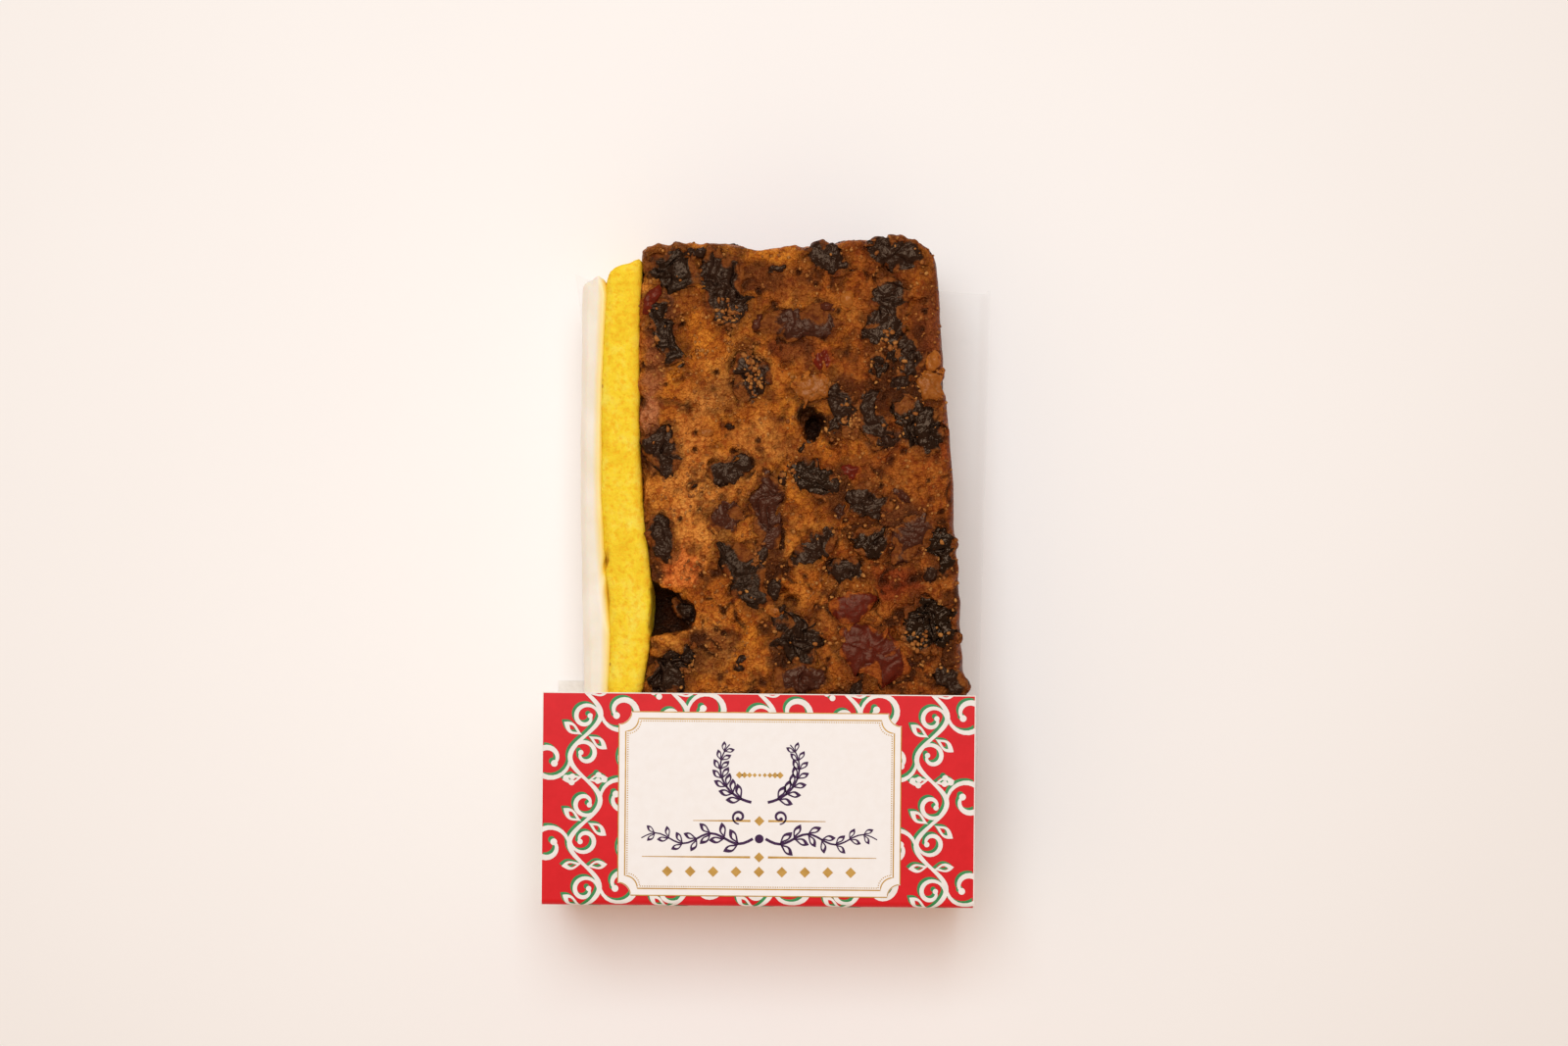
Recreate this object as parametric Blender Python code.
"""A slice of iced fruit cake, cut face up, on its clear tray with a card sleeve round one end.

The slice lies as it is sold: the icing that was on top of the cake is at -X, then the marzipan,
then the crumb, and the baked base crust is at +X. +Y points away from the card sleeve and +Z is up.
The origin is on the ground, in the middle of the whole object. Every size below is in millimetres,
and solid_object() turns them into metres.
"""

import math

import bmesh
import bpy
from mathutils import Matrix, Vector, noise

MM = 0.001

# The stack, from the ground up: card, gap, tray, gap, slice, gap, card.
GAP = 0.3
CARD_THICKNESS = 0.45
TRAY_THICKNESS = 0.4
FACE_HEIGHT = 27.5

# Unevenness of the crumb: how deep it is, how wide its lumps are, and which stretch of the
# noise each surface uses, so that no two surfaces repeat each other.
FACE_UNEVENNESS = 0.45
SIDE_UNEVENNESS = 0.35
BROAD_LUMPS = 11.0
FINE_LUMPS = 5.0
SIDE_LUMPS = 8.5
BROAD_LAYER = 3.1
FINE_LAYER = 7.7
CRUST_LAYER = 1.3
END_LAYER = 5.9
CALM_UNDER_CARD = 0.6
CALM_MARGIN = 2.0

# The card sleeve: one strip folded round the near end, open at both sides.
CARD_LEFT = -36.05
CARD_RIGHT = 32.0
CARD_FAR = -19.3
CARD_NEAR = -52.95
CARD_TOP = 28.7
CARD_FOLD_RADIUS = 1.2
FOLD_STEPS = 4

# The clear tray: a thin sheet with its two long sides folded up.
TRAY_WALL = 8.0
TRAY_BEND = 1.2
TRAY_NEAR = -52.0
TRAY_FAR = 48.2
TRAY_CORNER_DROP = 2.0
TRAY_LEFT_WALL = [(-52, -31.1), (-18, -31.4), (16, -31.8), (38, -31.9), (48.2, -32.3)]
TRAY_RIGHT_WALL = [(-52, 33.5), (-19, 34.1), (46, 35.4)]
TRAY_FLARE = 0.9
TRAY_FLARE_LENGTH = 9.0
TRAY_RISE_START = -6.0
TRAY_RISE_END = -17.0

# The three layers, as edges (y, x) that run from the near end to the far end.
SLICE_NEAR = -51.7
CAKE_LEFT = [(-52, -21.4), (-25, -21.2), (-17, -20.3), (-9, -18.9), (-3, -19.1), (9, -20.6),
             (22, -21.3), (40, -21.35), (52, -20.9)]
CAKE_RIGHT = [(-52, 31.2), (-18, 30.9), (-12, 30.4), (6.7, 29.0), (17.5, 28.5), (28, 27.3),
              (42, 26.3), (52, 25.4)]
MARZIPAN_LEFT = [(-52, -26.0), (-17, -25.6), (-9, -25.4), (0, -26.3), (12, -27.0), (30, -27.0),
                 (50, -26.2)]
ICING_LEFT = [(-52, -30.0), (-18, -30.1), (-5, -30.5), (16, -30.9), (46, -30.9)]

# The far end of each layer, as edges (x, y).
CAKE_FAR = [(-21, 50.3), (-17, 51.6), (-12, 52.1), (-8, 52.2), (-2.7, 50.9), (2.3, 51.6), (9, 52.5),
            (16, 53.2), (22, 53.2), (26, 49.6)]
MARZIPAN_FAR = [(-27.2, 44.6), (-25.5, 46.8), (-23.4, 48.5), (-21.2, 49.0)]
ICING_FAR = 45.8

MARZIPAN_TOP = [(0, 26.2), (0.4, 27.0), (1, 27.3)]
ICING_TOP = [(0, 22.8), (0.5, 24.8), (1, 25.7)]

# Cells along X, Y and Z of each layer's grid, its rough size, and the radius of its edges.
CAKE_GRID = (12, 22, 5)
CAKE_SIZE = (50, 103, 27)
CAKE_EDGE = 1.3
MARZIPAN_GRID = (4, 15, 4)
MARZIPAN_SIZE = (5.5, 100, 27)
MARZIPAN_EDGE = 0.7
ICING_GRID = (3, 14, 4)
ICING_SIZE = (3.8, 97, 24)
ICING_EDGE = 1.0
EDGE_PULL = 1 - math.sqrt(0.5)
TRAY_BASE_CELLS = 5
TRAY_STATIONS = 12

# Hollows in the cut face: x, y, half length, half width, depth, turn in degrees.
HOLLOWS = {
    "tear_by_marzipan": (-19.6, -6.2, 8.3, 4.2, 8.0, -8),
    "hole_mid": (6.1, 22.4, 2.4, 1.7, 4.0, 70),
    "hole_right": (19.0, 25.6, 1.6, 0.8, 3.0, 95),
}
HOLLOW_ABOVE = 2.5
HOLLOW_SINK = 0.5
HOLLOW_SEGMENTS = 12
HOLLOW_RINGS = 6

# Fruit in the cut face: kind, x, y, half length, half width, turn in degrees.
FRUIT = {
    "raisin_corner": ("raisin", -16.0, 47.2, 3.8, 2.8, -12),
    "raisin_far_left": ("raisin", -8.0, 44.0, 6.8, 3.1, -80),
    "raisin_edge_long": ("raisin", -17.2, 37.8, 5.9, 1.9, -76),
    "raisin_crumbed": ("raisin", -4.0, 30.4, 4.2, 2.2, -80),
    "raisin_left": ("raisin", -17.7, 18.9, 3.7, 2.1, -78),
    "raisin_end_mid": ("raisin", 8.2, 49.3, 3.4, 1.5, -18),
    "raisin_end_right": ("raisin", 18.7, 49.8, 4.3, 1.9, -18),
    "raisin_creased": ("raisin", 17.5, 40.2, 6.6, 2.5, 78),
    "raisin_creased_tail": ("raisin", 21.3, 34.0, 3.2, 1.4, -78),
    "raisin_lobe_left": ("raisin", 10.8, 25.9, 4.9, 1.5, -72),
    "raisin_lobe_right": ("raisin", 15.5, 24.0, 4.4, 1.5, -68),
    "raisin_wrinkled": ("raisin", 22.5, 23.0, 4.8, 2.5, -62),
    "plum_strip": ("plum", 3.8, 39.1, 6.0, 2.0, 0),
    "sultana_edge": ("sultana", 24.3, 29.2, 1.9, 1.9, 0),
    "sultana_mid": ("sultana", 5.9, 28.8, 2.2, 2.2, 0),
    "raisin_small_mid": ("raisin", -6.8, 15.5, 2.6, 1.4, 20),
    "raisin_purple_long": ("plum", -1.2, 9.2, 6.2, 1.8, -87),
    "raisin_red_rim": ("plum", -7.6, 8.7, 2.3, 1.8, 70),
    "raisin_large_matt": ("raisin", -4.7, -0.6, 6.0, 2.8, -62),
    "raisin_left_low": ("raisin", -17.8, 4.9, 3.0, 1.3, -78),
    "raisin_cavity": ("raisin", -12.6, -6.9, 2.3, 1.5, -24),
    "raisin_card_left": ("raisin", -15.4, -15.5, 4.6, 2.8, 48),
    "raisin_centre": ("raisin", 6.5, 14.5, 3.1, 2.4, -40),
    "raisin_right_mid": ("raisin", 14.7, 10.7, 3.4, 2.0, -20),
    "raisin_diagonal": ("raisin", 6.6, 3.9, 4.3, 1.4, 44),
    "raisin_shiny_mid": ("raisin", 15.3, 5.1, 2.9, 1.9, -22),
    "raisin_plum_mid": ("plum", 21.8, 5.7, 4.0, 2.2, 62),
    "raisin_shiny_edge": ("raisin", 26.5, 3.6, 4.0, 1.4, -82),
    "raisin_small_low": ("raisin", 11.4, -0.2, 2.8, 1.2, -8),
    "cherry_small": ("cherry", 12.5, -5.4, 2.9, 1.5, 12),
    "prune": ("raisin", 24.9, -8.4, 4.9, 3.8, -70),
    "cherry": ("cherry", 15.6, -13.0, 5.8, 3.4, -28),
    "raisin_low_mid": ("raisin", 4.1, -10.4, 4.4, 3.5, -60),
    "plum_card_mid": ("plum", 4.2, -17.4, 4.4, 1.7, 6),
    "raisin_card_mid": ("raisin", 12.6, -19.4, 2.2, 1.3, 20),
    "raisin_card_right": ("raisin", 28.1, -17.1, 2.3, 1.4, -60),
}
FRUIT_SINK = 0.4
FRUIT_ABOVE = 1.1
FRUIT_BELOW = 2.3
FRUIT_SEGMENTS = 9
FRUIT_RINGS = 5
FRUIT_LUMPS = 0.12
FRUIT_LUMP_COUNT = 1.4
FRUIT_FULLNESS = 0.5
EXTRA_SINK = {"raisin_cavity": 4.3, "raisin_card_mid": 0.3}

COLOURS = {
    "crumb": ("#8A4A22", 0.8),
    "marzipan": ("#F6CC3C", 0.55),
    "icing": ("#F7EEDC", 0.5),
    "clear_plastic": ("#F4F4F2", 0.08),
    "printed_card": ("#D8232B", 0.5),
    "raisin": ("#241A18", 0.4),
    "plum": ("#43241F", 0.4),
    "sultana": ("#9A5728", 0.4),
    "cherry": ("#6A1A16", 0.3),
}


def through(points, at):
    """Value at a place on the smooth curve that passes through (place, value) pairs."""
    if at <= points[0][0]:
        return points[0][1]
    if at >= points[-1][0]:
        return points[-1][1]
    after = next(i for i, point in enumerate(points) if point[0] > at)
    (start, low), (stop, high) = points[after - 1], points[after]
    before, beyond = points[max(after - 2, 0)], points[min(after + 1, len(points) - 1)]
    width = stop - start
    slope_in = (high - before[1]) / (stop - before[0]) * width
    slope_out = (beyond[1] - low) / (beyond[0] - start) * width
    t = (at - start) / width
    return ((2 * t**3 - 3 * t**2 + 1) * low + (t**3 - 2 * t**2 + t) * slope_in
            + (3 * t**2 - 2 * t**3) * high + (t**3 - t**2) * slope_out)


def ease(start, end, at):
    """0 before start, 1 after end, and a smooth step between them."""
    t = min(max((at - start) / (end - start), 0.0), 1.0)
    return t * t * (3 - 2 * t)


def lump(x, y, z, size):
    """Smooth unevenness between about -1 and 1, with lumps of the given size."""
    return noise.noise(Vector((x, y, z)) / size)


def tray_lift(y):
    """How far the tray is above the ground: it rises onto the card's lower panel."""
    return (CARD_THICKNESS + GAP) * ease(TRAY_RISE_START, TRAY_RISE_END, y)


def slice_floor(y):
    """Height of the underside of the slice."""
    return tray_lift(y) + TRAY_THICKNESS + GAP


def face_height(x, y):
    """Height of the cut face, which is gently uneven and flatter under the card."""
    bumps = lump(x, y, BROAD_LAYER, BROAD_LUMPS) + 0.5 * lump(x, y, FINE_LAYER, FINE_LUMPS)
    calm = 1 - CALM_UNDER_CARD * ease(CARD_FAR + CALM_MARGIN, CARD_FAR - CALM_MARGIN, y)
    return FACE_HEIGHT + FACE_UNEVENNESS * calm * bumps


def material(name):
    """Principled material of one of the finishes in COLOURS."""
    made = bpy.data.materials.get(name)
    if made:
        return made
    hex_colour, roughness = COLOURS[name]
    parts = [int(hex_colour[i:i + 2], 16) / 255 for i in (1, 3, 5)]
    linear = [c / 12.92 if c <= 0.04045 else ((c + 0.055) / 1.055) ** 2.4 for c in parts]
    made = bpy.data.materials.new(name)
    made.use_nodes = True
    shader = made.node_tree.nodes["Principled BSDF"]
    shader.inputs["Base Color"].default_value = (*linear, 1)
    shader.inputs["Roughness"].default_value = roughness
    shader.inputs["Metallic"].default_value = 0.0
    if name == "clear_plastic":
        shader.inputs["Transmission Weight"].default_value = 1.0
    return made


def solid_object(name, mesh_data, finish, smooth_angle):
    """Scene object from a bmesh in millimetres, with its faces pointing out."""
    bmesh.ops.recalc_face_normals(mesh_data, faces=mesh_data.faces)
    bmesh.ops.scale(mesh_data, vec=(MM, MM, MM), verts=mesh_data.verts)
    mesh = bpy.data.meshes.new(name)
    mesh_data.to_mesh(mesh)
    mesh_data.free()
    mesh.materials.append(material(finish))
    mesh.shade_smooth()
    mesh.set_sharp_from_angle(angle=math.radians(smooth_angle))
    made = bpy.data.objects.new(name, mesh)
    bpy.context.collection.objects.link(made)
    return made


def stations(cells, length, edge):
    """Fractions along one side of a block: one narrow cell at each end, for the rounded edges."""
    rim = edge / length
    inner = [rim + (1 - 2 * rim) * i / (cells - 2) for i in range(cells - 1)]
    return [0.0] + inner + [1.0]


def block(grid, size, edge, place):
    """Closed block of cells whose surface points go where place(u, v, w) says."""
    columns = [stations(cells, length, edge) for cells, length in zip(grid, size)]
    made = bmesh.new()
    corners = {}

    def corner(*index):
        if index not in corners:
            fractions = [columns[axis][i] for axis, i in enumerate(index)]
            outer = [f in (0.0, 1.0) for f in fractions]
            point = Vector(place(*fractions))
            if sum(outer) > 1:
                for axis in range(3):
                    if outer[axis]:
                        inward = 1 if fractions[axis] == 0.0 else -1
                        point[axis] += inward * EDGE_PULL * edge
            corners[index] = made.verts.new(point)
        return corners[index]

    for axis in range(3):
        first, second = (axis + 1) % 3, (axis + 2) % 3
        for end in (0, grid[axis]):
            for i in range(grid[first]):
                for j in range(grid[second]):
                    loop = []
                    for di, dj in ((0, 0), (1, 0), (1, 1), (0, 1)):
                        index = [0, 0, 0]
                        index[axis] = end
                        index[first] = i + di
                        index[second] = j + dj
                        loop.append(corner(*index))
                    made.faces.new(loop)
    return made


def cake_point(u, v, w):
    """Point of the crumb block: u from icing side to base crust, v from near to far, w upwards."""
    guess = CAKE_LEFT[-1][1] + u * (CAKE_RIGHT[-1][1] - CAKE_LEFT[-1][1])
    y = SLICE_NEAR + v * (through(CAKE_FAR, guess) - SLICE_NEAR)
    left, right = through(CAKE_LEFT, y), through(CAKE_RIGHT, y)
    x = left + u * (right - left)
    floor = slice_floor(y)
    z = floor + w * (face_height(x, y) - floor)
    if u == 1.0:
        x -= SIDE_UNEVENNESS * (1 + lump(y, z, CRUST_LAYER, SIDE_LUMPS))
    if v == 1.0 and 0 < w < 1:
        y -= SIDE_UNEVENNESS * (1 + lump(x, z, END_LAYER, SIDE_LUMPS))
    return x, y, z


def marzipan_point(u, v, w):
    """Point of the marzipan sheet: u from the icing to the crumb."""
    guess = MARZIPAN_FAR[0][0] + u * (MARZIPAN_FAR[-1][0] - MARZIPAN_FAR[0][0])
    near = SLICE_NEAR + GAP
    y = near + v * (through(MARZIPAN_FAR, guess) - near)
    left, right = through(MARZIPAN_LEFT, y), through(CAKE_LEFT, y) - GAP
    floor = slice_floor(y)
    return left + u * (right - left), y, floor + w * (through(MARZIPAN_TOP, u) - floor)


def icing_point(u, v, w):
    """Point of the icing sheet: u from the outer skin to the marzipan."""
    near = SLICE_NEAR + 2 * GAP
    y = near + v * (ICING_FAR - near)
    left, right = through(ICING_LEFT, y), through(MARZIPAN_LEFT, y) - GAP
    floor = slice_floor(y)
    return left + u * (right - left), y, floor + w * (through(ICING_TOP, u) - floor)


def fruit_mesh(name, grow):
    """Lumpy flattened ellipsoid of one piece of fruit, sunk in the face; grow enlarges it all over."""
    _, x, y, half_length, half_width, turn = FRUIT[name]
    own_lumps = Vector((10.0 * list(FRUIT).index(name), 0, 0))
    made = bmesh.new()
    bmesh.ops.create_uvsphere(made, u_segments=FRUIT_SEGMENTS, v_segments=FRUIT_RINGS, radius=1.0)
    angle = math.radians(turn)
    height = face_height(x, y) - FRUIT_SINK - EXTRA_SINK.get(name, 0.0)
    for vert in made.verts:
        swell = 1 + FRUIT_LUMPS * noise.noise(vert.co * FRUIT_LUMP_COUNT + own_lumps)
        full = max(math.hypot(vert.co.x, vert.co.y), 0.01) ** (FRUIT_FULLNESS - 1)
        along = vert.co.x * full * (half_length * swell + grow)
        across = vert.co.y * full * (half_width * swell + grow)
        deep = FRUIT_ABOVE if vert.co.z > 0 else FRUIT_BELOW
        up = vert.co.z * (deep * swell + grow)
        vert.co = (x + along * math.cos(angle) - across * math.sin(angle),
                   y + along * math.sin(angle) + across * math.cos(angle), height + up)
    return made


def hollow_mesh(name):
    """Cutter of one hole in the cut face: an ellipsoid centred just below the face."""
    x, y, half_length, half_width, depth, turn = HOLLOWS[name]
    made = bmesh.new()
    bmesh.ops.create_uvsphere(made, u_segments=HOLLOW_SEGMENTS, v_segments=HOLLOW_RINGS, radius=1.0)
    angle = math.radians(turn)
    for vert in made.verts:
        along = vert.co.x * half_length
        across = vert.co.y * half_width
        up = vert.co.z * (HOLLOW_ABOVE if vert.co.z > 0 else depth)
        vert.co = (x + along * math.cos(angle) - across * math.sin(angle),
                   y + along * math.sin(angle) + across * math.cos(angle), FACE_HEIGHT - HOLLOW_SINK + up)
    return made


def cut_away(target, cutters):
    """Take closed shapes out of an object with one Boolean, and hide the cutters."""
    tools = bpy.data.collections.new("cutters")
    bpy.context.scene.collection.children.link(tools)
    for cutter in cutters:
        bpy.context.collection.objects.unlink(cutter)
        tools.objects.link(cutter)
        cutter.hide_render = True
        cutter.display_type = "WIRE"
    cut = target.modifiers.new("hollows and pockets", "BOOLEAN")
    cut.operation = "DIFFERENCE"
    cut.solver = "EXACT"
    cut.operand_type = "COLLECTION"
    cut.collection = tools


def make_cake():
    """The crumb block with its holes and a pocket for every piece of fruit."""
    cake = solid_object("cake", block(CAKE_GRID, CAKE_SIZE, CAKE_EDGE, cake_point), "crumb", 40)
    shapes = {name: hollow_mesh(name) for name in HOLLOWS}
    shapes.update({name: fruit_mesh(name, GAP) for name in FRUIT})
    cut_away(cake, [solid_object(f"cutter_{name}", shapes[name], "crumb", 60) for name in shapes])
    return cake


def make_fruit():
    """Every raisin, plum, sultana and cherry that shows in the cut face."""
    return [solid_object(name, fruit_mesh(name, 0.0), FRUIT[name][0], 60) for name in FRUIT]


def make_covering():
    """The marzipan and icing sheets, which run through the whole thickness of the slice."""
    marzipan = block(MARZIPAN_GRID, MARZIPAN_SIZE, MARZIPAN_EDGE, marzipan_point)
    icing = block(ICING_GRID, ICING_SIZE, ICING_EDGE, icing_point)
    return [solid_object("marzipan", marzipan, "marzipan", 40),
            solid_object("icing", icing, "icing", 40)]


def arc(centre, radius, first, last):
    """Points on an arc of a folded sheet, from one angle to another in degrees."""
    turns = [math.radians(first + (last - first) * i / FOLD_STEPS) for i in range(FOLD_STEPS + 1)]
    return [(centre[0] + radius * math.cos(t), centre[1] + radius * math.sin(t)) for t in turns]


def folded_sheet(sections):
    """Closed sheet lofted through its sections, each one an outer and an inner line of points."""
    made = bmesh.new()
    rings = []
    for outer, inner in sections:
        rings.append([made.verts.new(point) for point in outer + inner[::-1]])
    count = len(rings[0])
    for near, far in zip(rings, rings[1:]):
        for i in range(count):
            after = (i + 1) % count
            made.faces.new((near[i], near[after], far[after], far[i]))
    for ring in (rings[0], rings[-1]):
        for i in range(count // 2 - 1):
            made.faces.new((ring[i], ring[i + 1], ring[-2 - i], ring[-1 - i]))
    return made


def sleeve_line(x, inset):
    """Line of the card over the slice, down its near end and back under it, at one place along X."""
    radius = CARD_FOLD_RADIUS - inset
    fold = CARD_NEAR + CARD_FOLD_RADIUS
    line = [(CARD_FAR, CARD_TOP - inset)]
    line += arc((fold, CARD_TOP - CARD_FOLD_RADIUS), radius, 90, 180)
    line += arc((fold, CARD_FOLD_RADIUS), radius, 180, 270)
    line += [(CARD_FAR, inset)]
    return [(x, y, z) for y, z in line]


def make_sleeve():
    """The card sleeve, a single strip that is open at both sides."""
    sections = [(sleeve_line(x, 0.0), sleeve_line(x, CARD_THICKNESS)) for x in (CARD_LEFT, CARD_RIGHT)]
    return solid_object("card_sleeve", folded_sheet(sections), "printed_card", 40)


def tray_line(v, inset):
    """Line of the tray's sheet across the slice: down the left wall, over the base, up the right."""
    y = TRAY_NEAR + v * (TRAY_FAR - TRAY_NEAR)
    left, right = through(TRAY_LEFT_WALL, y), through(TRAY_RIGHT_WALL, y)
    flare = TRAY_FLARE * ease(TRAY_FAR - TRAY_FLARE_LENGTH, TRAY_FAR, y)
    radius = TRAY_BEND - inset
    line = [(left + inset - flare, TRAY_WALL)]
    line += arc((left + TRAY_BEND, TRAY_BEND), radius, 180, 270)
    for i in range(1, TRAY_BASE_CELLS):
        line.append((left + (right - left) * i / TRAY_BASE_CELLS, inset))
    line += arc((right - TRAY_BEND, TRAY_BEND), radius, 270, 360)
    line += [(right - inset, TRAY_WALL)]
    points = []
    for x, z in line:
        drop = TRAY_CORNER_DROP * ((x - left + flare) / (right - left + flare)) ** 3
        points.append((x, y - v * drop, z + tray_lift(y)))
    return points


def make_tray():
    """The clear tray: a base and two low walls, open at both ends and flared at one far corner."""
    steps = [i / TRAY_STATIONS for i in range(TRAY_STATIONS + 1)]
    sections = [(tray_line(v, 0.0), tray_line(v, TRAY_THICKNESS)) for v in steps]
    return solid_object("clear_tray", folded_sheet(sections), "clear_plastic", 40)


def centre_on_ground():
    """Move every mesh so that the origin is on the ground in the middle of the whole object."""
    objects = [item for item in bpy.data.objects if not item.hide_render]
    points = [vert.co for item in objects for vert in item.data.vertices]
    low = Vector([min(point[axis] for point in points) for axis in range(3)])
    high = Vector([max(point[axis] for point in points) for axis in range(3)])
    middle = (low + high) / 2
    for item in bpy.data.objects:
        item.data.transform(Matrix.Translation((-middle.x, -middle.y, -low.z)))


for old in list(bpy.data.objects):
    bpy.data.objects.remove(old, do_unlink=True)
make_cake()
make_fruit()
make_covering()
make_tray()
make_sleeve()
centre_on_ground()
